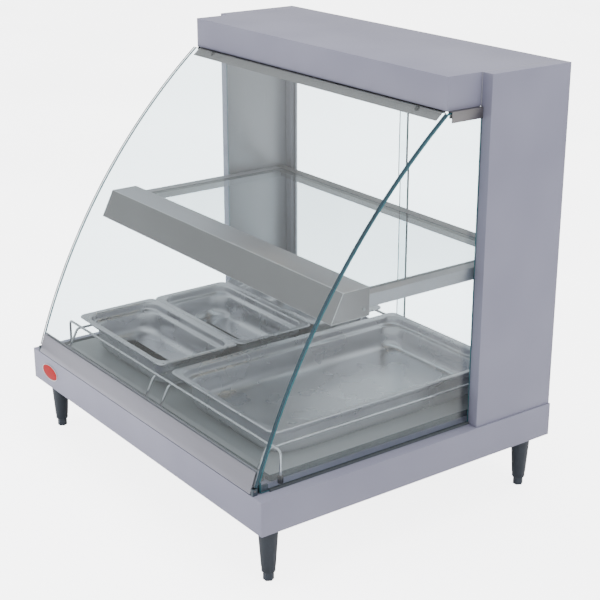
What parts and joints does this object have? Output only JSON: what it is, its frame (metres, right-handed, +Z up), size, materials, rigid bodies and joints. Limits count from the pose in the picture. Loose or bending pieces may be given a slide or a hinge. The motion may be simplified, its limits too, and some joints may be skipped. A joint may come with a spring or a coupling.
{
  "type": "hot food display case",
  "caption": "Countertop heated display case with a curved tilting front glass, glass shelf, sliding rear doors, heated deck and food pans in a wire rack.",
  "frame": {"origin": "on the surface the case stands on, under the middle of the base", "axes": "+X to the right seen by a customer in front of the glass, +Y towards the rear doors, +Z up"},
  "size_m": [0.826, 0.662, 0.813],
  "materials": {
    "painted_body": "satin lavender grey",
    "satin_aluminium": "satin",
    "brushed_steel": "brushed",
    "bright_wire": "bright",
    "clear_glass": "clear with teal edges",
    "hardcoat_deck": "matt hard anodised",
    "black_plastic": "matt",
    "black_rubber": "matt",
    "dark_panel": "satin",
    "heater_sheath": "oxidised",
    "zinc_steel": "plain",
    "lamp_glass": "frosted",
    "white_ceramic": "glazed",
    "pan_steel": "bright satin",
    "red_enamel": "gloss"
  },
  "bodies": {
    "case": {"base_shell": "painted_body", "base_floor_plate": "zinc_steel", "heated_deck": "hardcoat_deck", "deck_heater": "zinc_steel", "leg_front_left": "black_plastic", "leg_front_right": "black_plastic", "leg_rear_left": "black_plastic", "leg_rear_right": "black_plastic", "column_shell_left": "painted_body", "column_shell_right": "painted_body", "column_liner_left": "brushed_steel", "column_liner_right": "brushed_steel", "hood_shell": "painted_body", "hood_floor_panel": "brushed_steel", "hood_reflector": "satin_aluminium", "hood_heater": "heater_sheath", "hood_lamps": "lamp_glass", "lamp_sockets": "white_ceramic", "glass_stop_rail": "brushed_steel", "glass_bumpers": "black_rubber", "glass_retainers": "brushed_steel", "side_glass_left": "clear_glass", "side_glass_right": "clear_glass", "side_glass_gaskets": "black_rubber", "hinge_brackets": "brushed_steel", "hinge_pins": "brushed_steel", "shelf_housing": "brushed_steel", "shelf_rail_left": "brushed_steel", "shelf_rail_right": "brushed_steel", "shelf_rear_rail": "brushed_steel", "shelf_glass": "clear_glass", "shelf_heater": "heater_sheath", "shelf_reflector": "satin_aluminium", "shelf_supports": "brushed_steel", "door_track_bottom": "satin_aluminium", "door_track_top": "satin_aluminium", "control_panel": "dark_panel", "cord_gland": "black_plastic", "badge": "red_enamel", "screws": "zinc_steel"},
    "front_window": {"front_glass": "clear_glass", "front_glass_rail": "satin_aluminium"},
    "rear_door_left": {"door_left": "clear_glass", "door_pull_left": "satin_aluminium"},
    "rear_door_right": {"door_right": "clear_glass", "door_pull_right": "satin_aluminium"},
    "upper_knob": {"upper_heat_knob": "black_plastic"},
    "lower_knob": {"lower_heat_knob": "black_plastic"},
    "power_rocker": {"power_switch": "red_enamel"},
    "light_rocker": {"light_switch": "black_plastic"},
    "rack": {"pan_rack": "bright_wire", "rack_feet": "black_rubber"},
    "pan_full": {"food_pan_full": "pan_steel"},
    "pan_front": {"food_pan_third_front": "pan_steel"},
    "pan_middle": {"food_pan_third_middle": "pan_steel"},
    "pan_rear": {"food_pan_third_rear": "pan_steel"},
    "foot_fl": {"foot_front_left": "black_plastic"},
    "foot_fr": {"foot_front_right": "black_plastic"},
    "foot_rl": {"foot_rear_left": "black_plastic"},
    "foot_rr": {"foot_rear_right": "black_plastic"}
  },
  "joints": [
    {"name": "front_window_tilt", "type": "hinge", "parent": "case", "child": "front_window", "pos_m": [0, -0.325, 0.179], "axis": [1, 0, 0], "range_deg": [0, 35]},
    {"name": "left_door_slide", "type": "slide", "parent": "case", "child": "rear_door_left", "axis": [1, 0, 0], "range_m": [0, 0.355]},
    {"name": "right_door_slide", "type": "slide", "parent": "case", "child": "rear_door_right", "axis": [-1, 0, 0], "range_m": [0, 0.36]},
    {"name": "upper_heat_turn", "type": "hinge", "parent": "case", "child": "upper_knob", "pos_m": [-0.118, 0.313, 0.139], "axis": [0, 1, 0], "range_deg": [0, 270]},
    {"name": "lower_heat_turn", "type": "hinge", "parent": "case", "child": "lower_knob", "pos_m": [-0.072, 0.313, 0.139], "axis": [0, 1, 0], "range_deg": [0, 270]},
    {"name": "power_rock", "type": "hinge", "parent": "case", "child": "power_rocker", "pos_m": [-0.022, 0.3155, 0.139], "axis": [1, 0, 0], "range_deg": [0, 18]},
    {"name": "light_rock", "type": "hinge", "parent": "case", "child": "light_rocker", "pos_m": [0.014, 0.3155, 0.139], "axis": [1, 0, 0], "range_deg": [0, 18]},
    {"name": "rack_lift", "type": "slide", "parent": "case", "child": "rack", "axis": [0, 0, 1], "range_m": [0, 0.04]},
    {"name": "pan_full_lift", "type": "slide", "parent": "rack", "child": "pan_full", "axis": [0, 0, 1], "range_m": [0, 0.035]},
    {"name": "pan_front_lift", "type": "slide", "parent": "rack", "child": "pan_front", "axis": [0, 0, 1], "range_m": [0, 0.035]},
    {"name": "pan_middle_lift", "type": "slide", "parent": "rack", "child": "pan_middle", "axis": [0, 0, 1], "range_m": [0, 0.035]},
    {"name": "pan_rear_lift", "type": "slide", "parent": "rack", "child": "pan_rear", "axis": [0, 0, 1], "range_m": [0, 0.035]},
    {"name": "foot_fl_turn", "type": "hinge", "parent": "case", "child": "foot_fl", "pos_m": [-0.3775, -0.2925, 0.03], "axis": [0, 0, 1], "range_deg": [0, 300]},
    {"name": "foot_fr_turn", "type": "hinge", "parent": "case", "child": "foot_fr", "pos_m": [0.3775, -0.2925, 0.03], "axis": [0, 0, 1], "range_deg": [0, 300]},
    {"name": "foot_rl_turn", "type": "hinge", "parent": "case", "child": "foot_rl", "pos_m": [-0.3775, 0.2925, 0.03], "axis": [0, 0, 1], "range_deg": [0, 300]},
    {"name": "foot_rr_turn", "type": "hinge", "parent": "case", "child": "foot_rr", "pos_m": [0.3775, 0.2925, 0.03], "axis": [0, 0, 1], "range_deg": [0, 300]}
  ]
}
